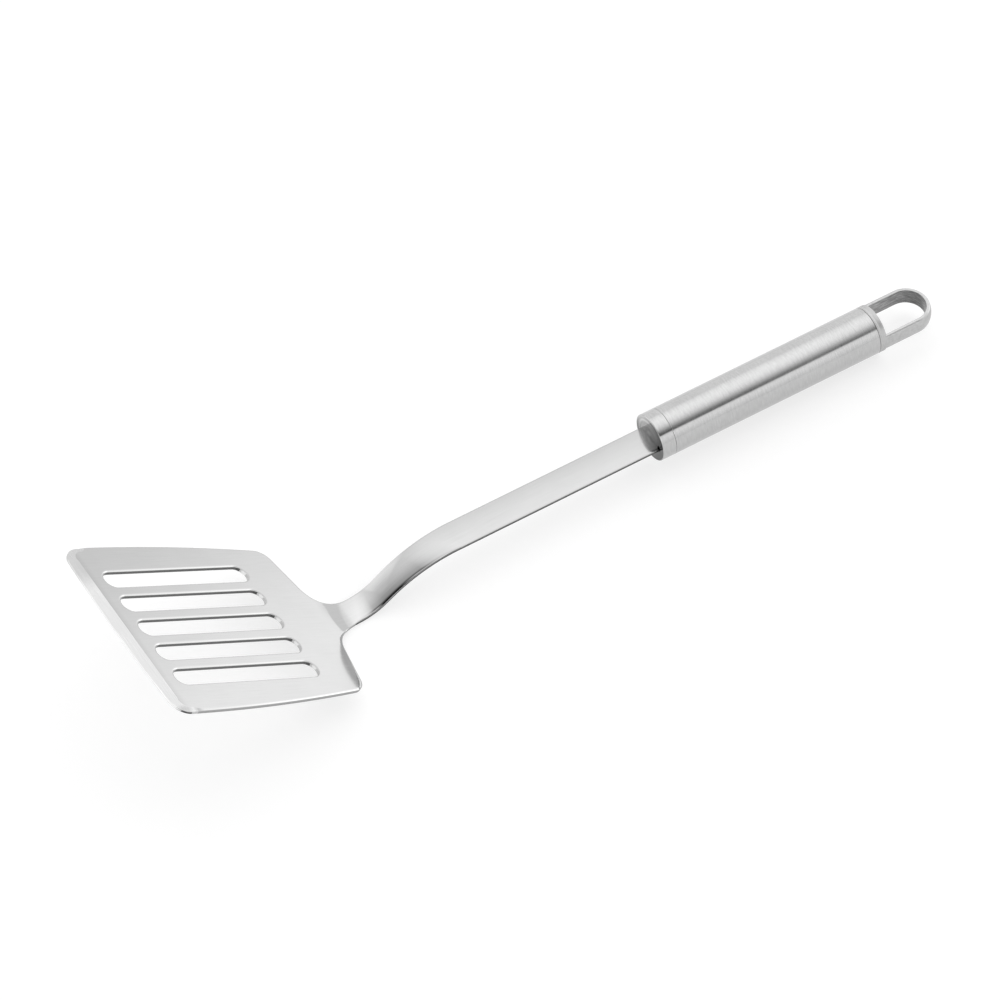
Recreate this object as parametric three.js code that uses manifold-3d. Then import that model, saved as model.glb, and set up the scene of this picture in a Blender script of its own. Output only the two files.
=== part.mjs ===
// Slotted turner with a round tube handle, lying at rest on a table.
// Millimetres, +Z up, +X from the blade's front edge towards the hanging loop.
import * as THREE from 'three';
import Module from 'manifold-3d';

const wasm = await Module();
wasm.setup();

// Blade sheet: one stamped piece from the front edge to the end of the tang.
const sheet = 1.5;
const bladeWidth = 85.2;
const bladeLength = 92.4;
const frontSlope = radians(3.2);
const sideSlope = radians(6.9);
const frontCornerRadius = 7;
const rearCornerRadius = 6.5;
const shoulderSlope = radians(11.5);
const neckFillet = 13.5;
const neckWidth = 11.2;
const shankWidth = 12.6;
const bevelWidth = 4.8;
const frontEdge = 0.5;

// Slots
const slotCount = 5;
const slotRib = 4.5;
const slotSide = 13.1;
const slotFront = 10.4;
const slotRear = 15.4;

// Bends, measured on the upper face
const flatBeforeBend = 5.4;
const riseAngle = radians(67);
const handleAngle = radians(32.2);
const lowerBend = 20.5;
const upperBend = 52;
const riser = 3.6;
const shankLength = 86;
const tangLength = 13;
const tangDrop = 0.75;
const tangWall = 1.5;

// Handle
const tubeDiameter = 19;
const tubeWall = 1.5;
const tubeLength = 91.7;
const capLength = 5.7;
const capChamfer = 0.4;
const spigotLength = 10;
const gap = 0.3;
const seam = 0.2;

// Hanging loop
const loopCollar = 2.7;
const loopLength = 24.8;
const loopHeight = 7.2;
const loopWall = 2;

const turns = 64;
const chordError = 0.02;

const tubeRadius = tubeDiameter / 2;
const boreRadius = tubeRadius - tubeWall;
const spigotRadius = boreRadius - gap;
const tangWidth = 2 * (spigotRadius - tangWall - gap);
const bendStart = bladeLength + flatBeforeBend;
const slotWidth = (bladeWidth - 2 * slotSide - (slotCount - 1) * slotRib) / slotCount;
const tubeStart = capLength + seam;
const tubeEnd = tubeStart + tubeLength;
const collarStart = tubeEnd + seam;
const collarEnd = collarStart + loopCollar;

function radians(degrees) {
  return degrees * Math.PI / 180;
}

// Points of an arc, close enough together to stay within the chord error
function arcPoints(cx, cy, radius, from, to) {
  const step = Math.sqrt(8 * chordError / radius);
  const count = Math.max(2, Math.ceil(Math.abs(to - from) / step));
  const points = [];
  for (let i = 0; i <= count; i += 1) {
    const a = from + (to - from) * i / count;
    points.push(new THREE.Vector2(cx + radius * Math.cos(a), cy + radius * Math.sin(a)));
  }
  return points;
}

// Open path through corner points [x, y, radius], with every inner corner rounded
function roundedPath(corners) {
  const points = [new THREE.Vector2(corners[0][0], corners[0][1])];
  for (let i = 1; i < corners.length - 1; i += 1) {
    const corner = new THREE.Vector2(corners[i][0], corners[i][1]);
    const back = new THREE.Vector2(corners[i - 1][0], corners[i - 1][1]).sub(corner).normalize();
    const ahead = new THREE.Vector2(corners[i + 1][0], corners[i + 1][1]).sub(corner).normalize();
    const half = Math.acos(back.dot(ahead)) / 2;
    const radius = corners[i][2];
    const middle = back.clone().add(ahead).normalize().multiplyScalar(radius / Math.sin(half));
    const centre = corner.clone().add(middle);
    const reach = radius / Math.tan(half);
    const start = corner.clone().addScaledVector(back, reach).sub(centre).angle();
    const end = corner.clone().addScaledVector(ahead, reach).sub(centre).angle();
    const turn = Math.atan2(Math.sin(end - start), Math.cos(end - start));
    points.push(...arcPoints(centre.x, centre.y, radius, start, start + turn));
  }
  const last = corners[corners.length - 1];
  points.push(new THREE.Vector2(last[0], last[1]));
  return points;
}

// Outline of the flattened sheet, from one end of the neck round the blade to the other
function sheetOutline() {
  const halfWidth = bladeWidth / 2;
  const halfNeck = neckWidth / 2;
  const frontBow = (halfWidth - frontCornerRadius) / Math.tan(frontSlope);
  const frontX = frontBow * (1 - 1 / Math.cos(frontSlope));
  const frontCornerX = frontX + halfWidth * Math.tan(frontSlope);
  const sideMiddle = (frontCornerX + bladeLength) / 2;
  const sideReach = sideMiddle - frontCornerX - Math.max(frontCornerRadius, rearCornerRadius);
  const sideBow = sideReach / Math.tan(sideSlope / 2);
  const rearHalf = halfWidth - (bladeLength - sideMiddle) * Math.tan(sideSlope);
  const neckX = bladeLength + (rearHalf - halfNeck) * Math.tan(shoulderSlope);
  const side = [
    [frontCornerX, halfWidth, frontCornerRadius],
    [sideMiddle, halfWidth, sideBow],
    [bladeLength, rearHalf, rearCornerRadius],
    [neckX, halfNeck, neckFillet],
    [neckX + 2 * neckFillet, halfNeck, 0],
  ];
  const mirrored = side.map(([x, y, radius]) => [x, -y, radius]).reverse();
  return roundedPath([...mirrored, [frontX, 0, frontBow], ...side]);
}

// Half the sheet's width at a distance along the flattened sheet
function outlineHalfWidth(outline, along) {
  for (let i = outline.length - 1; i > 0; i -= 1) {
    const a = outline[i - 1];
    const b = outline[i];
    if (a.x <= along && b.x >= along && b.x > a.x) {
      return a.y + (b.y - a.y) * (along - a.x) / (b.x - a.x);
    }
  }
  return neckWidth / 2;
}

// Closed indexed geometry with shared corners and no collapsed triangles
function welded(geometry) {
  const source = geometry.index ? geometry.toNonIndexed() : geometry;
  const place = source.getAttribute('position');
  const seen = new Map();
  const corners = [];
  const triangles = [];
  for (let i = 0; i < place.count; i += 3) {
    const face = [i, i + 1, i + 2].map((k) => {
      const p = [place.getX(k), place.getY(k), place.getZ(k)];
      const key = p.map((v) => Math.round(v * 1e4)).join();
      if (!seen.has(key)) {
        seen.set(key, corners.length / 3);
        corners.push(...p);
      }
      return seen.get(key);
    });
    if (face[0] !== face[1] && face[1] !== face[2] && face[2] !== face[0]) {
      triangles.push(...face);
    }
  }
  return { corners, triangles };
}

function solid(geometry) {
  const { corners, triangles } = welded(geometry);
  const mesh = new wasm.Mesh({
    numProp: 3,
    vertProperties: new Float32Array(corners),
    triVerts: new Uint32Array(triangles),
  });
  return new wasm.Manifold(mesh);
}

function geometryOf(body) {
  const mesh = body.getMesh();
  const geometry = new THREE.BufferGeometry();
  geometry.setAttribute('position', new THREE.BufferAttribute(new Float32Array(mesh.vertProperties), 3));
  geometry.setIndex(Array.from(mesh.triVerts));
  const faceted = geometry.toNonIndexed();
  faceted.computeVertexNormals();
  return faceted;
}

function block(x0, x1, y0, y1, z0, z1) {
  const geometry = new THREE.BoxGeometry(x1 - x0, y1 - y0, z1 - z0);
  geometry.translate((x0 + x1) / 2, (y0 + y1) / 2, (z0 + z1) / 2);
  return geometry;
}

// Body turned about the X axis from a profile of [x, radius]
function turned(profile) {
  const points = profile.map(([x, radius]) => new THREE.Vector2(radius, x));
  const geometry = new THREE.LatheGeometry(points, turns);
  geometry.rotateZ(-Math.PI / 2);
  const body = solid(geometry);
  if (body.volume() < 0) {
    throw new Error('a turned profile has to run from its low X end to its high X end');
  }
  return body;
}

// Flat slotted blade, upper face at Z = 0
function flatBlade(outline) {
  const halfCut = outlineHalfWidth(outline, bendStart);
  const kept = outline.filter((p) => p.x < bendStart - 1e-6);
  const shape = new THREE.Shape([
    new THREE.Vector2(bendStart, -halfCut),
    ...kept,
    new THREE.Vector2(bendStart, halfCut),
  ]);
  const radius = slotWidth / 2;
  const x0 = slotFront + radius;
  const x1 = bladeLength - slotRear - radius;
  for (let i = 0; i < slotCount; i += 1) {
    const y = (i - (slotCount - 1) / 2) * (slotWidth + slotRib);
    shape.holes.push(new THREE.Path([
      ...arcPoints(x0, y, radius, Math.PI / 2, Math.PI * 3 / 2),
      ...arcPoints(x1, y, radius, -Math.PI / 2, Math.PI / 2),
    ]));
  }
  const geometry = new THREE.ExtrudeGeometry(shape, { depth: sheet, bevelEnabled: false });
  geometry.translate(0, 0, -sheet);
  return solid(geometry);
}

// Wedge above the ground front edge
function frontBevel() {
  const fall = Math.atan((sheet - frontEdge) / bevelWidth);
  const geometry = block(-2 * bevelWidth, 0, -bladeWidth, bladeWidth, 0, 2 * bevelWidth);
  geometry.rotateY(-fall);
  geometry.translate(bevelWidth, 0, 0);
  return solid(geometry);
}

// Upper face of the neck and shank in side view: place, slope and distance along the sheet
function sideStations() {
  const stations = [];
  let x = bendStart;
  let z = 0;
  let along = bendStart;
  const add = (slope) => stations.push({ x, z, slope, along });
  const bend = (radius, from, to) => {
    const step = Math.sqrt(8 * chordError / radius);
    const count = Math.ceil(Math.abs(to - from) / step);
    const side = Math.sign(to - from);
    const x0 = x;
    const z0 = z;
    const along0 = along;
    for (let i = 1; i <= count; i += 1) {
      const slope = from + (to - from) * i / count;
      x = x0 + side * radius * (Math.sin(slope) - Math.sin(from));
      z = z0 + side * radius * (Math.cos(from) - Math.cos(slope));
      along = along0 + radius * Math.abs(slope - from);
      add(slope);
    }
  };
  const straight = (length, slope) => {
    x += length * Math.cos(slope);
    z += length * Math.sin(slope);
    along += length;
    add(slope);
  };
  add(0);
  bend(lowerBend, 0, riseAngle);
  straight(riser, riseAngle);
  bend(upperBend, riseAngle, handleAngle);
  straight(shankLength - gap, handleAngle);
  return stations;
}

// Neck and shank: one strip through the side stations
function shankStrip(outline, stations) {
  const widenFrom = bendStart + lowerBend * riseAngle;
  const widenTo = widenFrom + riser + upperBend * (riseAngle - handleAngle);
  const corners = [];
  stations.forEach(({ x, z, slope, along }) => {
    const share = THREE.MathUtils.clamp((along - widenFrom) / (widenTo - widenFrom), 0, 1);
    const half = outlineHalfWidth(outline, along) + share * (shankWidth - neckWidth) / 2;
    const underX = x + sheet * Math.sin(slope);
    const underZ = z - sheet * Math.cos(slope);
    corners.push(x, half, z, x, -half, z, underX, -half, underZ, underX, half, underZ);
  });
  const triangles = [];
  const quad = (a, b, c, d) => triangles.push(a, b, c, a, c, d);
  for (let i = 0; i < stations.length - 1; i += 1) {
    const here = 4 * i;
    const next = here + 4;
    for (let k = 0; k < 4; k += 1) {
      const other = (k + 1) % 4;
      quad(here + k, here + other, next + other, next + k);
    }
  }
  const end = 4 * (stations.length - 1);
  quad(3, 2, 1, 0);
  quad(end, end + 1, end + 2, end + 3);
  const geometry = new THREE.BufferGeometry();
  geometry.setAttribute('position', new THREE.Float32BufferAttribute(corners, 3));
  geometry.setIndex(triangles);
  return solid(geometry);
}

// Narrow end of the sheet that goes into the front cap
function tang(shankEnd) {
  const half = tangWidth / 2;
  const geometry = block(-shankLength / 2, gap + tangLength, -half, half, -sheet, 0);
  geometry.rotateY(-handleAngle);
  geometry.translate(shankEnd.x, 0, shankEnd.z);
  return solid(geometry);
}

function bladeBody(stations) {
  const outline = sheetOutline();
  const shankEnd = stations[stations.length - 1];
  return flatBlade(outline).add(shankStrip(outline, stations)).add(tang(shankEnd)).subtract(frontBevel());
}

// Cap with a spigot in the tube and a slot for the tang; X = 0 at its outer face
function frontCapBody() {
  const end = capLength + spigotLength;
  const body = turned([
    [0, 0],
    [0, tubeRadius - capChamfer],
    [capChamfer, tubeRadius],
    [capLength, tubeRadius],
    [capLength, spigotRadius],
    [end, spigotRadius],
    [end, 0],
  ]);
  const halfWidth = tangWidth / 2 + gap;
  const halfHeight = sheet / 2 + gap;
  const slot = block(-end, 2 * end, -halfWidth, halfWidth, -tangDrop - halfHeight, halfHeight - tangDrop);
  return body.subtract(solid(slot));
}

// Hollow tube; X = 0 at the front cap's outer face
function tubeBody() {
  return turned([
    [tubeStart, boreRadius],
    [tubeStart, tubeRadius],
    [tubeEnd, tubeRadius],
    [tubeEnd, boreRadius],
    [tubeStart, boreRadius],
  ]);
}

// Round-ended rod with flats above and below and a hole through it; X = 0 at the front cap's face
function loopBody() {
  const ballCentre = collarEnd + loopLength - tubeRadius;
  const ball = arcPoints(ballCentre, 0, tubeRadius, Math.PI / 2, 0).map((p) => [p.x, Math.max(p.y, 0)]);
  const body = turned([
    [collarStart - spigotLength, 0],
    [collarStart - spigotLength, spigotRadius],
    [collarStart, spigotRadius],
    [collarStart, tubeRadius],
    ...ball.slice(0, -1),
    [ballCentre + tubeRadius, 0],
  ]);
  const far = collarEnd + 2 * loopLength;
  const above = block(collarEnd, far, -tubeDiameter, tubeDiameter, loopHeight / 2, tubeDiameter);
  const below = block(collarEnd, far, -tubeDiameter, tubeDiameter, -tubeDiameter, -loopHeight / 2);
  const holeRadius = tubeRadius - loopWall;
  const hole = new THREE.Shape([
    new THREE.Vector2(collarEnd, holeRadius),
    new THREE.Vector2(collarEnd, -holeRadius),
    ...arcPoints(ballCentre, 0, holeRadius, -Math.PI / 2, Math.PI / 2),
  ]);
  const through = new THREE.ExtrudeGeometry(hole, { depth: 2 * tubeDiameter, bevelEnabled: false });
  through.translate(0, 0, -tubeDiameter);
  return body.subtract(solid(above)).subtract(solid(below)).subtract(solid(through));
}

function steel(color, roughness) {
  return new THREE.MeshStandardMaterial({ color, metalness: 1, roughness });
}

function named(name, geometry, material) {
  const mesh = new THREE.Mesh(geometry, material);
  mesh.name = name;
  return mesh;
}

// Angle of the table line under the blade's frame: it touches the lower bend and the collar's lower rim
function tableAngle(capFace) {
  const rimX = capFace.x + collarEnd * Math.cos(handleAngle) + tubeRadius * Math.sin(handleAngle);
  const rimZ = capFace.y + collarEnd * Math.sin(handleAngle) - tubeRadius * Math.cos(handleAngle);
  const acrossX = rimX - bendStart;
  const acrossZ = rimZ - lowerBend;
  const span = Math.hypot(acrossX, acrossZ);
  return Math.atan2(acrossZ, acrossX) + Math.asin((lowerBend + sheet) / span);
}

const stations = sideStations();
const shankEnd = stations[stations.length - 1];
const lift = tangDrop - sheet / 2;
const capFace = new THREE.Vector2(
  shankEnd.x + gap * Math.cos(handleAngle) - lift * Math.sin(handleAngle),
  shankEnd.z + gap * Math.sin(handleAngle) + lift * Math.cos(handleAngle),
);

const handle = new THREE.Group();
handle.add(named('front_cap', geometryOf(frontCapBody()), steel(0xc4c5c6, 0.34)));
handle.add(named('handle_tube', geometryOf(tubeBody()), steel(0xc8c9ca, 0.3)));
handle.add(named('hanging_loop', geometryOf(loopBody()), steel(0xc2c3c4, 0.36)));
handle.position.set(capFace.x, 0, capFace.y);
handle.rotation.y = -handleAngle;

const assembly = new THREE.Group();
assembly.add(named('turner_blade', geometryOf(bladeBody(stations)), steel(0xcfd0d0, 0.32)));
assembly.add(handle);
assembly.rotation.y = tableAngle(capFace);

// Origin under the middle of the turner, on the table
const turner = new THREE.Group();
turner.add(assembly);
const bounds = new THREE.Box3().setFromObject(turner, true);
assembly.position.set(-(bounds.min.x + bounds.max.x) / 2, 0, -bounds.min.z);

export default turner;
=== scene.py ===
"""Slotted steel turner lying on a table: its surfaces, finishes, studio and camera, in metres."""
import math

import bmesh
import bpy
from mathutils import Matrix, Vector, geometry


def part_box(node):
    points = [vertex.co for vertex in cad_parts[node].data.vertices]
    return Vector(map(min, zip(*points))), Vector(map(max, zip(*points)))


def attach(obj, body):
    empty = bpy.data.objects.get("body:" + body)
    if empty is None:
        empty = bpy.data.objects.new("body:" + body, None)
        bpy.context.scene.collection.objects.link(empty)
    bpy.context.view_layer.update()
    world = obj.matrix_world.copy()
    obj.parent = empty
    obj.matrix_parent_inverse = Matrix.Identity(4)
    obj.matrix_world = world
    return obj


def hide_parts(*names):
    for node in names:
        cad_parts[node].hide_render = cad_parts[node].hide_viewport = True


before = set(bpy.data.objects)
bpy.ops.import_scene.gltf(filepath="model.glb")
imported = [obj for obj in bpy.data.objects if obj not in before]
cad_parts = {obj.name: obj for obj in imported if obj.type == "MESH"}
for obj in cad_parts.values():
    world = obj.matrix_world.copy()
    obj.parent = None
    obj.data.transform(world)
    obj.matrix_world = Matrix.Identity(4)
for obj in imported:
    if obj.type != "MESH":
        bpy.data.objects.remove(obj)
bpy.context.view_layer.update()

# Blade sheet, flattened
SHEET = 0.0015
BLADE_WIDTH = 0.0852
BLADE_LENGTH = 0.0924
FRONT_SLOPE = math.radians(3.2)
SIDE_SLOPE = math.radians(6.9)
FRONT_CORNER = 0.007
REAR_CORNER = 0.0065
SHOULDER_SLOPE = math.radians(11.5)
NECK_FILLET = 0.0135
NECK_WIDTH = 0.0112
SHANK_WIDTH = 0.0126

# Ground front edge
BEVEL_WIDTH = 0.0048
FRONT_EDGE = 0.0005
BEVEL_CORNER_LOSS = 0.45
BEVEL_RUN_OUT = 0.003

# Rounded edges as (width, depth), and the crown of the upper face
EDGE_ROUND = (0.0011, 0.0003)
SLOT_ROUND = (0.0009, 0.0003)
MEAN_WEAR = 0.7
WEAR_SWING = 0.3
UNDER_ROUND = 0.0001
UNDER_SHARE = 0.3
EDGE_MARGIN = 0.0003
NECK_CROWN = 0.00075
SHANK_CROWN = 0.0004

# Slots
SLOT_COUNT = 5
SLOT_RIB = 0.0045
SLOT_SIDE = 0.0131
SLOT_FRONT = 0.0104
SLOT_REAR = 0.0154

# Bends, measured on the upper face
FLAT_BEFORE_BEND = 0.0054
RISE_ANGLE = math.radians(67)
HANDLE_ANGLE = math.radians(32.2)
LOWER_BEND = 0.0205
UPPER_BEND = 0.052
RISER = 0.0036
SHANK_LENGTH = 0.086

# Tang and its slot in the cap
TANG_DROP = 0.00075
TANG_DEPTH = 0.004
TANG_FIT = 0.00003
NOTCH_RADIUS = 0.0009
NOTCH_INSET = 0.0003
NOTCH_MEET = math.radians(-30)

# Handle
TUBE_RADIUS = 0.0095
TUBE_LENGTH = 0.0917
CAP_LENGTH = 0.0057
CAP_ROUND = 0.0003
SEAM = 0.0002
SEAM_CLOSE = 0.00005
SEAM_CHAMFER = 0.00006
SPIGOT_RADIUS = 0.0077
SPIGOT_LENGTH = 0.010

# Hanging loop
LOOP_COLLAR = 0.0027
LOOP_LENGTH = 0.0248
LOOP_HEIGHT = 0.0072
LOOP_WALL = 0.002
LOOP_INNER_ROUND = 0.00015
LOOP_OUTER_ROUND = 0.0011
LOOP_SIDE_SHARE = 0.9
GROOVE_PLACE = 0.0012
GROOVE_WIDTH = 0.00016
GROOVE_DEPTH = 0.00005

# Fineness of the meshes
TURNS = 160
ROUND_STEPS = 6
CROSS_STEPS = 10
OUTLINE_STEP = 0.0009
BEND_STEP = 0.0008
SHANK_STEP = 0.004
CORNER_STEPS = 20
SLOT_END_STEPS = 24
TANG_END_STEPS = 12
LOOP_SIDE_STEPS = 14
LOOP_ARM_STEPS = 12
LOOP_END_STEPS = 64
SHARP_ANGLE = math.radians(35)
SAME_POINT = 1e-6
FILL_TOLERANCE = 1e-7
TINY = 1e-9
NORMAL_WEIGHT = 100

# Finishes by number, two of them darker steels for cut walls as painted shade, and the turns in degrees
# between which a cut wall takes the darkest steel as a painted dark reflection
SATIN, GROUND, FILED, SLOT_WALL_SHADE, DEEP_SHADE = range(5)
CORNER_DEEP_SHADE_TURNS = (52, 86)
SLOT_END_PAINTED_TURNS = (45, 62)

# Lines and clouding that all the steels share
NOISE_SPAN = (0.3, 0.7)
LINE_DETAIL = 4
LINE_ROUGHNESS = 0.1
LINE_DEPTH = 0.00002
CLOUD_SCALE = 70
CLOUD_DETAIL = 2
CLOUD_TONE = 0.015
CLOUD_ROUGHNESS = 0.06
EDGE_GRAIN = (1500, 1500, 300)
TURNED_GRAIN = (1800, 1800, 300)
SHINE_ROTATION = 0.25

# Tone, painted light and shade, and haze that change over a steel
BEHIND_EDGE_TONE = 0.91
BEHIND_EDGE_WIDTH = 0.003
# Painted sheen that brightens the sheet in the lower bend
PAINTED_BEND_SHEEN = 0.13
BEND_SHEEN_RISE = (0.0078, 0.0104)
BEND_SHEEN_FALL = (0.016, 0.024)
# Painted shade at both ends of the ground front edge
FAR_END_PAINTED_SHADE = 0.8
FAR_END_SHADE_SPAN = (0.031, 0.02)
NEAR_END_PAINTED_SHADE = 0.76
NEAR_END_SHADE_SPAN = (0.0016, 0.0041)
# Painted shade and light on the cap's face, by height and across it
FACE_UP_PAINTED_SHADING = (0.46, 1.1)
FACE_ACROSS_PAINTED_SHADING = (0.5, 1.3)
FACE_ACROSS_SHADE_SPAN = (-0.005, 0.005)
# Painted shading along the loop's inner wall
BORE_PAINTED_SHADING = (1.45, 0.6)
SHANK_HAZE = 2.2

# Table
TABLE_HALF = 4
TABLE_GRAIN = 300
TABLE_DETAIL = 2
TABLE_TONES = (0.415, 0.425)
TABLE_ROUGHNESS = 0.9
TABLE_GLOW = 0.63

# Light from the surround and from above it by direction, as (start, end, level at start, level at end)
RIGHT_LEVELS = (0.86, 1, 1.14, 2.1)
LEFT_SPAN = (-0.45, -0.7, 0, 1)
LEFT_LEVELS = (0.2, 0.5, 0.5, -0.2)
FRONT_SPAN = (-0.1, -0.5, 0, 1)
FRONT_LEVELS = (0.05, 0.4, -0.14, 0.14)
BACK_SPAN = (-0.1, -0.4, 0, 1)
BACK_LEVELS = (0.55, 0.8, 0, 0.4)
SURROUND_TOP = (0.575, 0.635, 0, 1)
LIFT_LEVELS = (0.6, 0.88, 0.8, 1)
STRIP_LEVELS = (0.8, 0.92, 0, 0.9)
STRIP_RIGHT = (0.2, 0, 0, 1)
STRIP_BACK = (0.12, 0, 0, 1)
STRIP_FRONT = (-0.45, -0.2, 0, 1)

# Light that fades from back right to front left, as (place, level)
FADE_RIGHTWARD = 0.75
FADE_BACKWARD = 0.66
FADE_LEFT_END = -0.28
FADE_HALF = 0.6
FADE_STOPS = [
    (-0.35, 0.01), (-0.2, 0.02), (-0.14, 0.08), (-0.08, 0.32), (-0.02, 0.66),
    (0.05, 0.93), (0.124, 1.17), (0.2, 1.35), (0.28, 1.48), (0.45, 1.63),
]

# Side panel
PANEL_LENGTH = 0.66
PANEL_HEIGHT = 0.2
PANEL_LEVEL = 0.48
PANEL_FADE = (1, 0.8)
PANEL_PLACE = (0.546, 0.145, 0.1)
PANEL_FACING = (-0.84, -0.54, 0)

# Camera
CAMERA_PLACE = (-0.57121, -0.99819, 1.50969)
CAMERA_TURN = (37.4535, 2.0937, -31.8004)
CAMERA_LENS = 183.79
CAMERA_SENSOR = 36
CAMERA_REACH = 20

HALF_WIDTH = BLADE_WIDTH / 2
SLOT_WIDTH = (BLADE_WIDTH - 2 * SLOT_SIDE - (SLOT_COUNT - 1) * SLOT_RIB) / SLOT_COUNT
BEND_START = BLADE_LENGTH + FLAT_BEFORE_BEND
LOWER_BEND_END = BEND_START + LOWER_BEND * RISE_ANGLE
UPPER_BEND_START = LOWER_BEND_END + RISER
UPPER_BEND_END = UPPER_BEND_START + UPPER_BEND * (RISE_ANGLE - HANDLE_ANGLE)
SHANK_END = UPPER_BEND_END + SHANK_LENGTH
BEVEL_FALL = (SHEET - FRONT_EDGE) / BEVEL_WIDTH
TUBE_START = CAP_LENGTH + SEAM
TUBE_END = TUBE_START + TUBE_LENGTH
COLLAR_START = TUBE_END + SEAM
COLLAR_END = COLLAR_START + LOOP_COLLAR
LOOP_CENTRE = COLLAR_END + LOOP_LENGTH - TUBE_RADIUS
QUARTER = math.pi / 2


def share_of(value, start, end):
    """How far a value is from start to end, kept between 0 and 1."""
    return min(max((value - start) / (end - start), 0), 1)


def arc(centre, radius, start, end, count):
    """Points of an arc, both ends included."""
    angles = [start + (end - start) * i / count for i in range(count + 1)]
    return [Vector((centre[0] + radius * math.cos(a), centre[1] + radius * math.sin(a))) for a in angles]


def rounded_path(corners):
    """Open path through corners (x, y, radius) with every inner corner rounded."""
    points = [Vector(corners[0][:2])]
    for before, here, after in zip(corners, corners[1:], corners[2:]):
        corner = Vector(here[:2])
        back = (Vector(before[:2]) - corner).normalized()
        ahead = (Vector(after[:2]) - corner).normalized()
        half = math.acos(back.dot(ahead)) / 2
        radius = here[2]
        centre = corner + (back + ahead).normalized() * (radius / math.sin(half))
        reach = radius / math.tan(half)
        first = corner + back * reach - centre
        last = corner + ahead * reach - centre
        start = math.atan2(first.y, first.x)
        turn = math.atan2(first.x * last.y - first.y * last.x, first.dot(last))
        count = max(CORNER_STEPS, math.ceil(abs(turn) * radius / OUTLINE_STEP))
        points += arc(centre, radius, start, start + turn, count)
    points.append(Vector(corners[-1][:2]))
    return points


def side_outline():
    """One side of the flattened sheet, from the middle of the front edge to the end of the tang."""
    half_neck = NECK_WIDTH / 2
    front_bow = (HALF_WIDTH - FRONT_CORNER) / math.tan(FRONT_SLOPE)
    front_x = front_bow * (1 - 1 / math.cos(FRONT_SLOPE))
    corner_x = front_x + HALF_WIDTH * math.tan(FRONT_SLOPE)
    side_middle = (corner_x + BLADE_LENGTH) / 2
    side_bow = (side_middle - corner_x - max(FRONT_CORNER, REAR_CORNER)) / math.tan(SIDE_SLOPE / 2)
    rear_half = HALF_WIDTH - (BLADE_LENGTH - side_middle) * math.tan(SIDE_SLOPE)
    neck_x = BLADE_LENGTH + (rear_half - half_neck) * math.tan(SHOULDER_SLOPE)
    corners = [
        (corner_x, -HALF_WIDTH, FRONT_CORNER),
        (front_x, 0, front_bow),
        (corner_x, HALF_WIDTH, FRONT_CORNER),
        (side_middle, HALF_WIDTH, side_bow),
        (BLADE_LENGTH, rear_half, REAR_CORNER),
        (neck_x, half_neck, NECK_FILLET),
        (neck_x + 2 * NECK_FILLET, half_neck, 0),
    ]
    path = [point for point in rounded_path(corners) if point.y >= -TINY][:-1]
    path[0].y = 0
    return path + shank_side(path[-1].x)


def shank_side(start):
    """Side of the neck and shank from a distance along the sheet, widening over the upper bend."""
    points = []
    along = start
    for stop, spacing in ((UPPER_BEND_END, BEND_STEP), (SHANK_END + TANG_DEPTH, SHANK_STEP)):
        count = math.ceil((stop - along) / spacing)
        step = (stop - along) / count
        for _ in range(count):
            along += step
            share = share_of(along, LOWER_BEND_END, UPPER_BEND_END)
            points.append(Vector((along, (NECK_WIDTH + share * (SHANK_WIDTH - NECK_WIDTH)) / 2)))
    return points


def sheet_outline():
    """Outline of the flattened sheet from the near end of the tang round the front to its far end."""
    far = side_outline()
    near = [Vector((point.x, -point.y)) for point in reversed(far[1:])]
    return near + far


def slot_outline(middle):
    """Closed outline of one slot, counter-clockwise."""
    radius = SLOT_WIDTH / 2
    front = (SLOT_FRONT + radius, middle)
    rear = (BLADE_LENGTH - SLOT_REAR - radius, middle)
    outline = arc(front, radius, QUARTER, 3 * QUARTER, SLOT_END_STEPS)
    return outline + arc(rear, radius, -QUARTER, QUARTER, SLOT_END_STEPS)


def bevel_width(point, inward):
    """Width of the ground front edge at an outline point.

    It is full along the front, narrower round the corners and runs out behind them.
    """
    rise = HALF_WIDTH * math.tan(FRONT_SLOPE)
    corner_share = share_of(math.atan2(abs(inward.y), inward.x), FRONT_SLOPE, QUARTER)
    corner_end = rise + FRONT_CORNER
    run_out = 1 - share_of(point.x, corner_end, corner_end + BEVEL_RUN_OUT)
    full = BEVEL_WIDTH - min(point.x, rise / 2)
    return full * (1 - BEVEL_CORNER_LOSS * corner_share) * run_out


def edge_rings(points, closed, edge):
    """Edge of the sheet along an outline with the metal on its right, as rings of (along, across, depth).

    Each ring starts on the flat face, crosses the ground bevel, the rounded top edge, the wall and the
    rounded lower edge. Polishing has worn the edges that face the near side rounder than the others.
    """
    rings = []
    count = len(points)
    turns = [QUARTER * k / ROUND_STEPS for k in range(ROUND_STEPS + 1)]
    for i, point in enumerate(points):
        before = points[i - 1] if closed or i else point
        after = points[(i + 1) % count] if closed or i < count - 1 else point
        way = (after - before).normalized()
        inward = Vector((way.y, -way.x))
        bevel = 0 if closed else bevel_width(point, inward)
        thick = SHEET - bevel * BEVEL_FALL
        worn = (MEAN_WEAR + WEAR_SWING * inward.y) * thick / SHEET
        wide, top = (size * worn for size in edge)
        under = min(UNDER_ROUND, UNDER_SHARE * thick)
        start = point + inward * max(bevel, wide + EDGE_MARGIN)
        ring = [(start.x, start.y, 0)]
        for turn in turns:
            inset = wide * (1 - math.sin(turn))
            place = point + inward * inset
            ground = max(bevel - inset, 0) * BEVEL_FALL
            ring.append((place.x, place.y, ground + top * (1 - math.cos(turn))))
        for turn in reversed(turns):
            place = point + inward * (under * (1 - math.sin(turn)))
            ring.append((place.x, place.y, SHEET - under * (1 - math.cos(turn))))
        rings.append(ring)
    return rings


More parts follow.
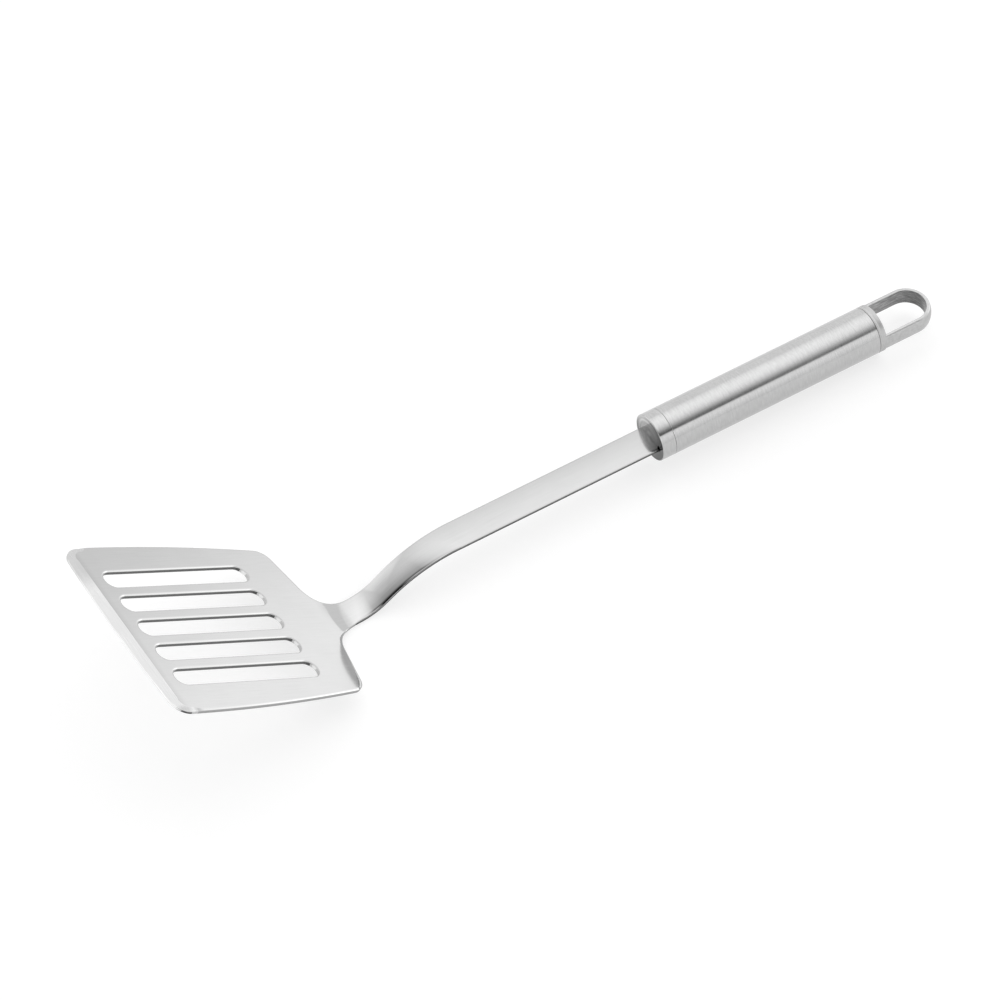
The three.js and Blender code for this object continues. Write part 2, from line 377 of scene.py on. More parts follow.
def wall_finish(slot, ground, along, inward):
    """Steel of the sheet's cut wall: filed round the blade; up the riser and in the slots, painted shade.

    The wall under the ground edge is ground too, apart from the near corner, which takes the darkest steel
    as a painted dark reflection. A short length at the start of each slot's rear end takes the darkest
    steel as a painted dark reflection, and the rest of the rear end takes the bright satin as a painted
    glint.
    """
    turn = math.degrees(math.atan2(inward.y, inward.x))
    if ground:
        # The near corner of the ground wall takes the darkest steel, a painted dark reflection
        return DEEP_SHADE if CORNER_DEEP_SHADE_TURNS[0] < turn < CORNER_DEEP_SHADE_TURNS[1] else GROUND
    # Up the riser the wall takes the darkest steel, painted shade
    if not slot:
        return FILED if along < BEND_START + LOWER_BEND / 2 else DEEP_SHADE
    # In the slots the rear end takes the bright satin, a painted glint; the next turns the darkest steel, a
    # painted dark reflection; the rest darker steel, painted shade
    if abs(turn) < SLOT_END_PAINTED_TURNS[0]:
        return SATIN
    return DEEP_SHADE if SLOT_END_PAINTED_TURNS[0] <= turn < SLOT_END_PAINTED_TURNS[1] else SLOT_WALL_SHADE


def crowned(along, across, depth):
    """A point of the upper face, lowered towards the sides of the neck and shank."""
    into = share_of(along, BEND_START, LOWER_BEND_END)
    onto = share_of(along, UPPER_BEND_START, UPPER_BEND_END)
    crown = NECK_CROWN * into + (SHANK_CROWN - NECK_CROWN) * onto
    share = min(abs(across) / (SHANK_WIDTH / 2), 1)
    return along, across, depth + crown * share ** 2 * (1 - depth / SHEET)


def bent(along, across, depth):
    """A point of the flattened sheet on the bent sheet, in the blade's own frame."""
    slope = share_of(along, BEND_START, LOWER_BEND_END) * RISE_ANGLE
    x = min(along, BEND_START) + LOWER_BEND * math.sin(slope)
    z = LOWER_BEND * (1 - math.cos(slope))
    straight = share_of(along, LOWER_BEND_END, UPPER_BEND_START) * RISER
    x += straight * math.cos(RISE_ANGLE)
    z += straight * math.sin(RISE_ANGLE)
    if along > UPPER_BEND_START:
        fall = share_of(along, UPPER_BEND_START, UPPER_BEND_END)
        slope = RISE_ANGLE - fall * (RISE_ANGLE - HANDLE_ANGLE)
        x += UPPER_BEND * (math.sin(RISE_ANGLE) - math.sin(slope))
        z += UPPER_BEND * (math.cos(slope) - math.cos(RISE_ANGLE))
    rest = max(along - UPPER_BEND_END, 0)
    x += rest * math.cos(HANDLE_ANGLE)
    z += rest * math.sin(HANDLE_ANGLE)
    return Vector((x + depth * math.sin(slope), across, z - depth * math.cos(slope)))


def table_placing():
    """Matrices from the blade's frame and from the handle's frame to the part's frame."""
    end = bent(SHANK_END, 0, 0)
    lift = TANG_DROP - SHEET / 2
    up = Vector((-math.sin(HANDLE_ANGLE), 0, math.cos(HANDLE_ANGLE)))
    handle = Matrix.Translation(end + up * lift) @ Matrix.Rotation(-HANDLE_ANGLE, 4, 'Y')
    rim = handle @ Vector((COLLAR_END, 0, -TUBE_RADIUS))
    bend = Vector((BEND_START, 0, LOWER_BEND))
    across = rim - bend
    angle = math.atan2(across.z, across.x) + math.asin((LOWER_BEND + SHEET) / across.length)
    turn = Matrix.Rotation(angle, 4, 'Y')
    lowest = (turn @ bend).z - LOWER_BEND - SHEET
    tip = (turn @ handle @ Vector((LOOP_CENTRE, 0, 0))).x + TUBE_RADIUS
    shift = Matrix.Translation((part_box("hanging_loop")[1][0] - tip, 0, -lowest))
    return shift @ turn, shift @ turn @ handle


def face_fill(flat, outer, holes):
    """Triangles of a flat face inside an outer loop and outside its holes, as point numbers.

    Triangles that fill a hole have all their corners on its loop, in the loop's own order.
    """
    numbers = []
    edges = []
    owner = []
    for number, loop in enumerate([outer] + holes):
        start = len(numbers)
        numbers += loop
        owner += [number] * len(loop)
        edges += [(i, i + 1) for i in range(start, len(numbers) - 1)] + [(len(numbers) - 1, start)]
    places = [Vector(flat[i][:2]) for i in numbers]
    found = geometry.delaunay_2d_cdt(places, edges, [], 1, FILL_TOLERANCE)
    triangles = []
    for face in found[2]:
        corners = [found[3][i][0] for i in face]
        first = corners.index(min(corners))
        in_turn = corners[first:] + corners[:first]
        loops = {owner[i] for i in corners}
        if loops == {0} or len(loops) > 1 or in_turn != sorted(in_turn):
            triangles.append([numbers[i] for i in corners])
    return triangles


def new_piece(name, verts, faces, finishes, flat=None):
    """Smooth mesh object with finish numbers on its faces and flattened coordinates on its points.

    Corners stay sharp, and so does the line where the satin face meets the ground one.
    """
    mesh = bpy.data.meshes.new(name)
    mesh.from_pydata(verts, [], faces)
    mesh.polygons.foreach_set("material_index", finishes)
    if flat:
        kept = mesh.attributes.new("flat", 'FLOAT_VECTOR', 'POINT')
        kept.data.foreach_set("vector", [value for point in flat for value in point])
    mesh.shade_smooth()
    merged = bmesh.new()
    merged.from_mesh(mesh)
    bmesh.ops.remove_doubles(merged, verts=merged.verts, dist=SAME_POINT)
    for edge in merged.edges:
        kinds = {face.material_index for face in edge.link_faces}
        corner = len(edge.link_faces) == 2 and edge.calc_face_angle() > SHARP_ANGLE
        edge.smooth = not corner and kinds != {SATIN, GROUND}
    merged.to_mesh(mesh)
    merged.free()
    piece = bpy.data.objects.new(name, mesh)
    bpy.context.scene.collection.objects.link(piece)
    weighted = piece.modifiers.new("even_normals", 'WEIGHTED_NORMAL')
    weighted.weight = NORMAL_WEIGHT
    weighted.keep_sharp = True
    return piece


def edge_faces(flat, starts, under):
    """Faces across every edge of the sheet with their finishes, from the first point of each ring."""
    faces = []
    finishes = []
    wall = ROUND_STEPS + 1
    for slot, numbers in enumerate(starts):
        following = numbers[1:] + numbers[:1] if slot else numbers[1:]
        for a, b in zip(numbers, following):
            ground = flat[a + 1][2] > 0 and flat[b + 1][2] > 0
            inward = Vector(flat[a][:2]) - Vector(flat[a + wall][:2])
            strip = [GROUND if ground else SATIN] * under
            strip[wall] = wall_finish(slot, ground, flat[a][0], inward)
            finishes += strip
            faces += [(a + k, b + k, b + k + 1, a + k + 1) for k in range(under)]
    return faces, finishes


def shank_rows(flat, numbers, count):
    """Rows of points across the upper face of neck and shank, from the end of the tang to the blade."""
    rows = []
    for near, far in zip(numbers[:count], reversed(numbers)):
        start = Vector(flat[near])
        end = Vector(flat[far])
        row = [near]
        for step in range(1, CROSS_STEPS):
            row.append(len(flat))
            flat.append(tuple(start.lerp(end, step / CROSS_STEPS)))
        rows.append(row + [far])
    return rows


def shank_faces(rows, under):
    """Faces of the neck and shank above and below, and of the tang's end."""
    faces = []
    for row, after in zip(rows, rows[1:]):
        faces += zip(row, row[1:], after[1:], after)
        faces.append((after[0] + under, after[-1] + under, row[-1] + under, row[0] + under))
    end = rows[0]
    near_edge = [end[0] + k for k in range(1, under + 1)]
    far_edge = [end[-1] + k for k in range(under, 0, -1)]
    faces.append(near_edge + far_edge + end[::-1])
    return faces


def blade_sheet(placing):
    """The stamped sheet: slotted blade, neck and shank with rounded edges."""
    outline = sheet_outline()
    rings = [edge_rings(outline, False, EDGE_ROUND)]
    for i in range(SLOT_COUNT):
        middle = (i - (SLOT_COUNT - 1) / 2) * (SLOT_WIDTH + SLOT_RIB)
        rings.append(edge_rings(slot_outline(middle), True, SLOT_ROUND))
    flat = []
    starts = []
    for ring_set in rings:
        starts.append([len(flat) + len(ring_set[0]) * i for i in range(len(ring_set))])
        flat += [point for ring in ring_set for point in ring]
    under = len(rings[0][0]) - 1
    on_blade = [i for i, point in enumerate(outline) if point.x <= BEND_START]
    outer = starts[0][on_blade[0]:on_blade[-1] + 1]
    holes = starts[1:]
    faces, finishes = edge_faces(flat, starts, under)
    rows = shank_rows(flat, starts[0], on_blade[0] + 1)
    faces += face_fill(flat, outer + rows[-1][-2:0:-1], holes)
    outer_below = [number + under for number in outer]
    holes_below = [[number + under for number in hole] for hole in holes]
    faces += [face[::-1] for face in face_fill(flat, outer_below, holes_below)]
    faces += shank_faces(rows, under)
    finishes += [SATIN] * (len(faces) - len(finishes))
    verts = [placing @ bent(*crowned(*point)) for point in flat]
    return new_piece("blade_sheet", verts, faces, finishes, flat)


def turned(name, profile, placing, ground_points=(), ground_faces=()):
    """Body turned about the handle's axis from a profile of (distance, radius), and any ground faces."""
    verts = []
    faces = []
    rings = []
    angles = [2 * math.pi * i / TURNS for i in range(TURNS)]
    for x, radius in profile:
        if radius == 0:
            rings.append([len(verts)] * TURNS)
            verts.append((x, 0, 0))
            continue
        rings.append(list(range(len(verts), len(verts) + TURNS)))
        verts += [(x, radius * math.cos(a), radius * math.sin(a)) for a in angles]
    for low, high in zip(rings, rings[1:]):
        for i in range(TURNS):
            j = (i + 1) % TURNS
            corners = [low[i], low[j], high[j], high[i]]
            faces.append(tuple(dict.fromkeys(corners)))
    finishes = [SATIN] * len(faces) + [GROUND] * len(ground_faces)
    faces += [tuple(number + len(verts) for number in corners) for corners in ground_faces]
    verts += ground_points
    piece = new_piece(name, verts, faces, finishes)
    piece.matrix_world = placing
    return piece


def tang_top(across):
    """Height of the slot's upper edge over the crowned tang."""
    return TANG_FIT - SHANK_CROWN * (across / (SHANK_WIDTH / 2)) ** 2


def tang_slot():
    """Outline of the slot in the cap's face, close round the tang but for a notch over its near corner."""
    half = SHANK_WIDTH / 2
    low = -SHEET - TANG_FIT
    notch_x = NOTCH_INSET - half
    start = notch_x + NOTCH_RADIUS * math.cos(NOTCH_MEET)
    notch = (notch_x, tang_top(start) - NOTCH_RADIUS * math.sin(NOTCH_MEET))
    corner = (notch_x - NOTCH_RADIUS + SHEET / 2, low + SHEET / 2)
    radius = (tang_top(half) - low) / 2
    far = (half + TANG_FIT - radius, low + radius)
    outline = arc(notch, NOTCH_RADIUS, NOTCH_MEET, 2 * QUARTER, TANG_END_STEPS)
    outline += arc(corner, SHEET / 2, 2 * QUARTER, 3 * QUARTER, TANG_END_STEPS // 2)
    outline += arc(far, radius, -QUARTER, QUARTER, TANG_END_STEPS)
    for i in range(1, CROSS_STEPS):
        across = far[0] + (start - far[0]) * i / CROSS_STEPS
        outline.append(Vector((across, tang_top(across))))
    return outline


def slotted_face(radius):
    """Round face of the cap with the tang's slot sunk into it, as points and faces."""
    slot = tang_slot()
    flat = arc((0, 0), radius, 0, 4 * QUARTER, TURNS)[:-1] + slot
    hole = list(range(TURNS, len(flat)))
    deep = len(slot)
    faces = [face[::-1] for face in face_fill(flat, list(range(TURNS)), [hole])]
    for a, b in zip(hole, hole[1:] + hole[:1]):
        faces.append((a + deep, b + deep, b, a))
    faces.append([number + deep for number in reversed(hole)])
    verts = [(0, point.x, point.y) for point in flat]
    return verts + [(TANG_DEPTH, point.x, point.y) for point in slot], faces


def front_cap(placing):
    """Turned cap with a rounded front rim, seated on the tube's chamfered end."""
    end = CAP_LENGTH + SEAM_CLOSE
    face_radius = TUBE_RADIUS - CAP_ROUND
    rim = arc((CAP_ROUND, face_radius), CAP_ROUND, 2 * QUARTER, QUARTER, ROUND_STEPS)
    profile = [(point.x, point.y) for point in rim] + [
        (end - SEAM_CHAMFER, TUBE_RADIUS),
        (end, TUBE_RADIUS - SEAM_CHAMFER),
        (end, SPIGOT_RADIUS),
        (CAP_LENGTH + SPIGOT_LENGTH, SPIGOT_RADIUS),
        (CAP_LENGTH + SPIGOT_LENGTH, 0),
    ]
    return turned("front_cap_turned", profile, placing, *slotted_face(face_radius))


def handle_tube(placing):
    """Tube with a small chamfer at both ends, closed behind them where the spigots fill it."""
    start = TUBE_START - SEAM_CLOSE
    profile = [
        (start, SPIGOT_RADIUS),
        (start, TUBE_RADIUS - SEAM_CHAMFER),
        (start + SEAM_CHAMFER, TUBE_RADIUS),
        (TUBE_END - SEAM_CHAMFER, TUBE_RADIUS),
        (TUBE_END, TUBE_RADIUS - SEAM_CHAMFER),
        (TUBE_END, SPIGOT_RADIUS),
        (start, SPIGOT_RADIUS),
    ]
    return turned("handle_tube_brushed", profile, placing)


def loop_collar(placing):
    """Turned collar between the tube and the loop, with one fine groove."""
    start = COLLAR_START - SEAM_CLOSE
    groove = COLLAR_START + GROOVE_PLACE
    profile = [
        (COLLAR_START - SPIGOT_LENGTH, 0),
        (COLLAR_START - SPIGOT_LENGTH, SPIGOT_RADIUS),
        (start, SPIGOT_RADIUS),
        (start, TUBE_RADIUS - SEAM_CHAMFER),
        (start + SEAM_CHAMFER, TUBE_RADIUS),
        (groove - GROOVE_WIDTH / 2, TUBE_RADIUS),
        (groove, TUBE_RADIUS - GROOVE_DEPTH),
        (groove + GROOVE_WIDTH / 2, TUBE_RADIUS),
        (COLLAR_END, TUBE_RADIUS),
        (COLLAR_END, 0),
    ]
    return turned("loop_collar_turned", profile, placing)


def loop_section():
    """Section of the loop's strip as (distance from the loop's middle line, height), counter-clockwise."""
    half = LOOP_HEIGHT / 2
    small = LOOP_INNER_ROUND
    large = LOOP_OUTER_ROUND
    inner_x = TUBE_RADIUS - LOOP_WALL + small
    section = arc((inner_x, half - small), small, QUARTER, 2 * QUARTER, ROUND_STEPS)
    section += arc((inner_x, small - half), small, 2 * QUARTER, 3 * QUARTER, ROUND_STEPS)
    lean = math.asin((half - large) / (TUBE_RADIUS - large))
    side = lean * LOOP_SIDE_SHARE
    outer_x = (TUBE_RADIUS - large) * math.cos(lean)
    section += arc((outer_x, large - half), large, -QUARTER, -lean, ROUND_STEPS)
    section += arc((0, 0), TUBE_RADIUS, -side, side, LOOP_SIDE_STEPS)
    section += arc((outer_x, half - large), large, lean, QUARTER, ROUND_STEPS)
    return section


def hanging_loop(placing):
    """Strip of the loop swept along both arms and round the end. Its inner wall is darker, painted shade.
    """
    section = loop_section()
    arm = [COLLAR_END + (LOOP_CENTRE - COLLAR_END) * i / LOOP_ARM_STEPS for i in range(LOOP_ARM_STEPS)]
    path = [(x, -QUARTER) for x in arm]
    path += [(LOOP_CENTRE, -QUARTER + 2 * QUARTER * i / LOOP_END_STEPS) for i in range(LOOP_END_STEPS + 1)]
    path += [(x, QUARTER) for x in reversed(arm)]
    verts = []
    for x, angle in path:
        out = Vector((math.cos(angle), math.sin(angle), 0))
        verts += [Vector((x, 0, point.y)) + out * point.x for point in section]
    size = len(section)
    faces = [tuple(range(size)), tuple(range(len(verts) - 1, len(verts) - size - 1, -1))]
    finishes = [SATIN, SATIN]
    for i in range(len(path) - 1):
        for k in range(size):
            a = i * size + k
            b = i * size + (k + 1) % size
            faces.append((a, a + size, b + size, b))
            finishes.append(GROUND if k == ROUND_STEPS else SATIN)
    piece = new_piece("hanging_loop_strip", verts, faces, finishes)
    piece.matrix_world = placing
    return piece


class Nodes:
    """Short way to add nodes to a node tree and link them."""

    def __init__(self, tree):
        self.tree = tree

    def add(self, kind, **settings):
        """A new node with its settings."""
        node = self.tree.nodes.new(kind)
        for key, value in settings.items():
            setattr(node, key, value)
        return node

    def put(self, value, socket):
        """Link an output, or set a number."""
        if isinstance(value, bpy.types.NodeSocket):
            self.tree.links.new(value, socket)
        else:
            socket.default_value = value

    def fill(self, node, *values):
        """Put values into a node's first inputs, and give its first output."""
        for value, socket in zip(values, node.inputs):
            self.put(value, socket)
        return node.outputs[0]

    def math(self, operation, *values):
        """One step of arithmetic."""
        return self.fill(self.add('ShaderNodeMath', operation=operation), *values)

    def product(self, first, *others):
        """All the values multiplied."""
        for other in others:
            first = self.math('MULTIPLY', first, other)
        return first

    def total(self, first, *others):
        """All the values added."""
        for other in others:
            first = self.math('ADD', first, other)
        return first

    def spread(self, value, start, end, low, high, smooth=False):
        """Level from low to high as a value goes from start to end."""
        kind = 'SMOOTHSTEP' if smooth else 'LINEAR'
        node = self.add('ShaderNodeMapRange', interpolation_type=kind)
        return self.fill(node, value, start, end, low, high)

    def split(self, place):
        """The three coordinates of a place."""
        node = self.add('ShaderNodeSeparateXYZ')
        self.put(place, node.inputs[0])
        return tuple(node.outputs)

    def join(self, *values):
        """A place from three coordinates."""
        return self.fill(self.add('ShaderNodeCombineXYZ'), *values)

    def grey(self, level):
        """Grey colour of a level."""
        return self.fill(self.add('ShaderNodeCombineColor'), level, level, level)

    def noise(self, place, scale, detail):
        """Noise over a place."""
        node = self.add('ShaderNodeTexNoise')
        self.put(place, node.inputs["Vector"])
        self.put(scale, node.inputs["Scale"])
        self.put(detail, node.inputs["Detail"])
        return node.outputs["Fac"]

    def stretch(self, place, scale):
        """A place scaled along each axis."""
        node = self.add('ShaderNodeMapping')
        self.put(place, node.inputs["Vector"])
        self.put(scale, node.inputs["Scale"])
        return node.outputs[0]

    def vary(self, noise, middle, share):
        """Level that noise moves by a share to both sides of the middle."""
        return self.spread(noise, *NOISE_SPAN, middle * (1 - share), middle * (1 + share))


def new_material(name):
    """Material with its helper and its shader."""
    material = bpy.data.materials.new(name)
    material.use_nodes = True
    return material, Nodes(material.node_tree), material.node_tree.nodes["Principled BSDF"]


def flat_place(nodes):
    """Place on the flattened blade sheet."""
    return nodes.add('ShaderNodeAttribute', attribute_name="flat").outputs["Vector"]


def object_place(nodes):
    """Place in a piece's own frame."""
    return nodes.add('ShaderNodeTexCoord').outputs["Object"]


def turned_place(nodes):
    """Place on a turned piece: along the handle, out from its axis, and slowly round it."""
    x, y, z = nodes.split(object_place(nodes))
    out = nodes.math('SQRT', nodes.total(nodes.product(y, y), nodes.product(z, z)))
    return nodes.join(x, out, nodes.product(nodes.math('ARCTAN2', z, y), TUBE_RADIUS))


def sheet_shine(nodes):
    """Tone of the blade sheet: duller behind the ground edge, and a painted sheen in the lower bend."""
    along = nodes.split(flat_place(nodes))[0]
    behind = BEVEL_WIDTH + BEHIND_EDGE_WIDTH
    dull = nodes.spread(along, BEVEL_WIDTH, behind, BEHIND_EDGE_TONE, 1, smooth=True)
    rise_start, rise_end = (BEND_START + distance for distance in BEND_SHEEN_RISE)
    fall_start, fall_end = (BEND_START + distance for distance in BEND_SHEEN_FALL)
    rise = nodes.spread(along, rise_start, rise_end, 0, PAINTED_BEND_SHEEN, smooth=True)
    fall = nodes.spread(along, fall_start, fall_end, 1, 0, smooth=True)
    return nodes.product(dull, nodes.total(nodes.product(rise, fall), 1))


def front_shine(nodes):
    """Painted shade across the ground front edge: darker at its far end and past its near corner."""
    across = nodes.split(flat_place(nodes))[1]
    near_start, near_end = (distance - HALF_WIDTH for distance in NEAR_END_SHADE_SPAN)
    far = nodes.spread(across, *FAR_END_SHADE_SPAN, FAR_END_PAINTED_SHADE, 1, smooth=True)
    near = nodes.spread(across, near_start, near_end, NEAR_END_PAINTED_SHADE, 1, smooth=True)
    return nodes.product(far, near)


def face_shine(nodes):
    """Painted shade and light on the cap's face: darker towards the tang, below it and towards the notch.
    """
    _, across, up = nodes.split(object_place(nodes))
    upward = nodes.spread(up, -SHEET, TUBE_RADIUS, *FACE_UP_PAINTED_SHADING)
    return nodes.product(upward, nodes.spread(across, *FACE_ACROSS_SHADE_SPAN, *FACE_ACROSS_PAINTED_SHADING))


def bore_shine(nodes):
    """Painted shading on the loop's inner wall: lighter near the collar, darker towards its round end."""
    along = nodes.split(object_place(nodes))[0]
    return nodes.spread(along, COLLAR_END, LOOP_CENTRE + TUBE_RADIUS - LOOP_WALL, *BORE_PAINTED_SHADING)


def shank_haze(nodes):
    """Roughness of the blade sheet along its length: hazier along the shank."""
    along = nodes.split(flat_place(nodes))[0]
    return nodes.spread(along, UPPER_BEND_END, SHANK_END, 1, SHANK_HAZE)


def steel(name, place, grain, tone, rough, streak, relief=0.03, shine=None, haze=None):
    """Brushed steel: fine lines from stretched noise in tone, roughness and relief, over faint clouding."""
    material, nodes, shader = new_material(name)
    shader.inputs["Metallic"].default_value = 1
    spot = place(nodes)
    lines = nodes.noise(nodes.stretch(spot, grain), 1, LINE_DETAIL)
    cloud = nodes.noise(spot, CLOUD_SCALE, CLOUD_DETAIL)
    level = nodes.vary(lines, tone, streak)
    # Each shine multiplies the tone by place; the steels' painted light and shade come in here
    if shine:
        level = nodes.product(level, shine(nodes))
    level = nodes.product(level, nodes.vary(cloud, 1, CLOUD_TONE))
    nodes.put(nodes.grey(level), shader.inputs["Base Color"])
    scratch = nodes.spread(lines, *NOISE_SPAN, -rough * LINE_ROUGHNESS, rough * LINE_ROUGHNESS)
    rubbed = nodes.total(nodes.vary(cloud, rough, CLOUD_ROUGHNESS), scratch)
    if haze:
        rubbed = nodes.product(rubbed, haze(nodes))
    nodes.put(rubbed, shader.inputs["Roughness"])
    bump = nodes.add('ShaderNodeBump')
    bump.inputs["Strength"].default_value = relief
    bump.inputs["Distance"].default_value = LINE_DEPTH
    nodes.put(lines, bump.inputs["Height"])
    nodes.put(bump.outputs[0], shader.inputs["Normal"])
    return material


def drawn_round(material, anisotropy):
    """Stretch a turned steel's shine along the handle, as lines round it do."""
    nodes = Nodes(material.node_tree)
    shader = material.node_tree.nodes["Principled BSDF"]
    shader.inputs["Anisotropic"].default_value = anisotropy
    shader.inputs["Anisotropic Rotation"].default_value = SHINE_ROTATION
    tangent = nodes.add('ShaderNodeTangent', direction_type='RADIAL', axis='X')
    nodes.put(tangent.outputs[0], shader.inputs["Tangent"])
    return material


def blade_steel():
    """Satin sheet with fine lines along the blade, and a painted sheen in the lower bend."""
    return steel("blade_satin_painted_sheen_steel", flat_place, grain=(60, 3000, 3000), tone=0.48, rough=0.075,
                 streak=0.025, relief=0.01, shine=sheet_shine, haze=shank_haze)


def ground_steel():
    """Front edge ground along its length, with painted shade at its ends."""
    return steel("ground_edge_painted_shade_steel", flat_place, grain=(2500, 80, 80), tone=0.7, rough=0.25,
                 streak=0.04, shine=front_shine)


def filed_steel():
    """Cut edge of the blade, filed."""
    return steel("filed_edge_steel", flat_place, EDGE_GRAIN, tone=0.34, rough=0.22, streak=0.08)


def slot_wall_shade_steel():
    """Walls of the slots, darker than the blade's outer wall as painted shade."""
    return steel("slot_wall_painted_shade_steel", flat_place, EDGE_GRAIN, tone=0.14, rough=0.22, streak=0.08)


def deep_shade_steel():
    """Rough cut edge of the neck and shank, darkest as painted shade, also used for painted dark
    reflections at corners.
    """
    return steel("deep_painted_shade_edge_steel", flat_place, EDGE_GRAIN, tone=0.09, rough=0.35, streak=0.08)


def cap_steel():
    """Side of the cap, turned fine."""
    material = steel("cap_turned_steel", turned_place, TURNED_GRAIN, tone=0.5, rough=0.17, streak=0.065)
    return drawn_round(material, anisotropy=0.8)


def face_steel():
    """Face of the cap, turned with coarser rings, and painted shade and light by place."""
    material = steel("cap_faced_painted_shading_steel", turned_place, grain=(1300, 650, 60), tone=0.39, rough=0.17,
                     streak=0.38, shine=face_shine)
    return drawn_round(material, anisotropy=0.7)


def tube_steel():
    """Tube brushed round its length."""
    material = steel("tube_brushed_steel", turned_place, TURNED_GRAIN, tone=0.5, rough=0.18, streak=0.055)
    return drawn_round(material, anisotropy=0.8)


def loop_steel():
    """Even satin on the outside of the loop."""
    material = steel("loop_satin_steel", turned_place, grain=(1000, 1000, 1000), tone=0.5, rough=0.34,
                     streak=0.09)
    return drawn_round(material, anisotropy=0.6)


def collar_steel():
    """Collar of the loop, turned and duller than the tube."""
    material = steel("collar_turned_steel", turned_place, TURNED_GRAIN, tone=0.52, rough=0.5, streak=0.1)
    return drawn_round(material, anisotropy=0.4)


def inner_steel():
    """Inner wall of the loop, milled along its length, darker than its outside as painted shade."""
    return steel("loop_inner_painted_shade_steel", object_place, grain=(350, 350, 1800), tone=0.26, rough=0.25,
                 streak=0.4, shine=bore_shine)


def pale_floor():
    """Plain pale table under the turner, white to the eye and in the steel, with the soft shadow kept."""
    half = TABLE_HALF
    corners = [(-half, -half, 0), (half, -half, 0), (half, half, 0), (-half, half, 0)]
    mesh = bpy.data.meshes.new("table")
    mesh.from_pydata(corners, [], [(0, 1, 2, 3)])
    table = bpy.data.objects.new("table", mesh)
    bpy.context.scene.collection.objects.link(table)
    material, nodes, shader = new_material("pale_table")
    shader.inputs["Roughness"].default_value = TABLE_ROUGHNESS
    shader.inputs["Specular IOR Level"].default_value = 0
    grain = nodes.noise(object_place(nodes), TABLE_GRAIN, TABLE_DETAIL)
    nodes.put(nodes.grey(nodes.spread(grain, *NOISE_SPAN, *TABLE_TONES)), shader.inputs["Base Color"])
    shader.inputs["Emission Color"].default_value = (1, 1, 1, 1)
    path = nodes.add('ShaderNodeLightPath').outputs
    seen = nodes.total(path["Is Camera Ray"], path["Is Glossy Ray"], path["Is Transmission Ray"])
    glow = nodes.product(nodes.math('MINIMUM', seen, 1), TABLE_GLOW)
    nodes.put(glow, shader.inputs["Emission Strength"])
    mesh.materials.append(material)


def fading_light(nodes, x, y):
    """Level of the light above the surround, which fades from back right to front left."""
    sideways = nodes.product(nodes.math('MAXIMUM', x, FADE_LEFT_END), FADE_RIGHTWARD)
    across = nodes.total(sideways, nodes.product(y, FADE_BACKWARD))
    fade = nodes.add('ShaderNodeValToRGB')
    stops = fade.color_ramp.elements
    while len(stops) < len(FADE_STOPS):
        stops.new(0.5)
    for stop, (place, level) in zip(stops, FADE_STOPS):
        stop.position = (place + FADE_HALF) / (2 * FADE_HALF)
        stop.color = (level, level, level, 1)
    nodes.put(nodes.spread(across, -FADE_HALF, FADE_HALF, 0, 1), fade.inputs[0])
    return fade.outputs[0]


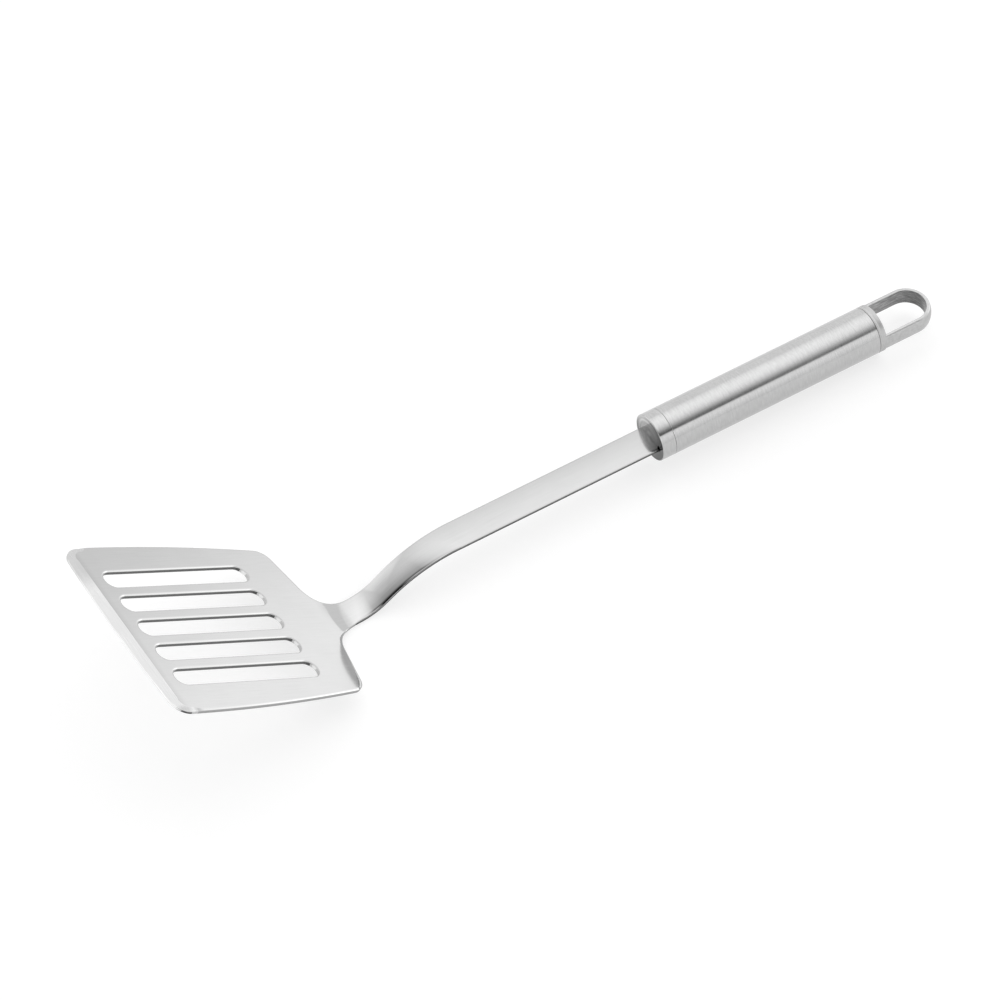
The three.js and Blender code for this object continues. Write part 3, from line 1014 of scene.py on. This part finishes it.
def studio_world():
    """Soft studio: a pale surround at table height, fading light above it and a soft strip overhead.

    The surround is brighter at the right and the back left. At the left it is brighter low down and
    darker higher up, and at the front the other way round.
    """
    world = bpy.data.worlds.new("studio")
    bpy.context.scene.world = world
    world.use_nodes = True
    nodes = Nodes(world.node_tree)
    x, y, z = nodes.split(nodes.add('ShaderNodeTexCoord').outputs["Generated"])
    right = nodes.spread(x, *RIGHT_LEVELS, smooth=True)
    left = nodes.product(nodes.spread(x, *LEFT_SPAN), nodes.spread(z, *LEFT_LEVELS))
    front = nodes.product(nodes.spread(y, *FRONT_SPAN), nodes.spread(z, *FRONT_LEVELS))
    back = nodes.product(nodes.spread(x, *BACK_SPAN), nodes.spread(y, *BACK_LEVELS))
    surround = nodes.total(right, left, front, back)
    fading = nodes.product(fading_light(nodes, x, y), nodes.spread(z, *LIFT_LEVELS))
    strip = nodes.product(nodes.spread(z, *STRIP_LEVELS), nodes.spread(x, *STRIP_RIGHT),
                          nodes.spread(y, *STRIP_BACK), nodes.spread(y, *STRIP_FRONT))
    height = nodes.spread(z, *SURROUND_TOP, smooth=True)
    level = nodes.spread(height, 0, 1, surround, nodes.total(fading, strip))
    nodes.put(nodes.grey(level), world.node_tree.nodes["Background"].inputs["Color"])


def side_panel():
    """Low soft panel at the right of the blade, fading out towards the back."""
    data = bpy.data.lights.new("side_panel", 'AREA')
    data.shape = 'RECTANGLE'
    data.size = PANEL_LENGTH
    data.size_y = PANEL_HEIGHT
    data.energy = PANEL_LEVEL * math.pi * PANEL_LENGTH * PANEL_HEIGHT
    data.use_nodes = True
    nodes = Nodes(data.node_tree)
    along = nodes.split(nodes.add('ShaderNodeNewGeometry').outputs["Parametric"])[0]
    fade = nodes.spread(along, *PANEL_FADE, 0, 1, smooth=True)
    nodes.put(fade, data.node_tree.nodes["Emission"].inputs["Strength"])
    panel = bpy.data.objects.new("side_panel", data)
    panel.location = PANEL_PLACE
    panel.rotation_euler = Vector(PANEL_FACING).to_track_quat('-Z', 'Y').to_euler()
    panel.visible_camera = False
    bpy.context.scene.collection.objects.link(panel)


def camera():
    """Camera at the photograph's place."""
    data = bpy.data.cameras.new("camera")
    data.lens = CAMERA_LENS
    data.sensor_width = CAMERA_SENSOR
    data.clip_end = CAMERA_REACH
    eye = bpy.data.objects.new("camera", data)
    eye.location = CAMERA_PLACE
    eye.rotation_euler = [math.radians(angle) for angle in CAMERA_TURN]
    bpy.context.scene.collection.objects.link(eye)
    bpy.context.scene.camera = eye


def finish(piece, materials, node):
    """Give a piece its steels and let it stand for a node."""
    for material in materials:
        piece.data.materials.append(material)
    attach(piece, "root")
    if node:
        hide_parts(node)


camera()
studio_world()
side_panel()
pale_floor()
bpy.context.scene.view_settings.view_transform = 'Standard'

blade_placing, handle_placing = table_placing()
blade_steels = [blade_steel(), ground_steel(), filed_steel(), slot_wall_shade_steel(), deep_shade_steel()]
finish(blade_sheet(blade_placing), blade_steels, "turner_blade")
finish(front_cap(handle_placing), [cap_steel(), face_steel()], "front_cap")
finish(handle_tube(handle_placing), [tube_steel()], "handle_tube")
finish(hanging_loop(handle_placing), [loop_steel(), inner_steel()], "hanging_loop")
finish(loop_collar(handle_placing), [collar_steel()], None)
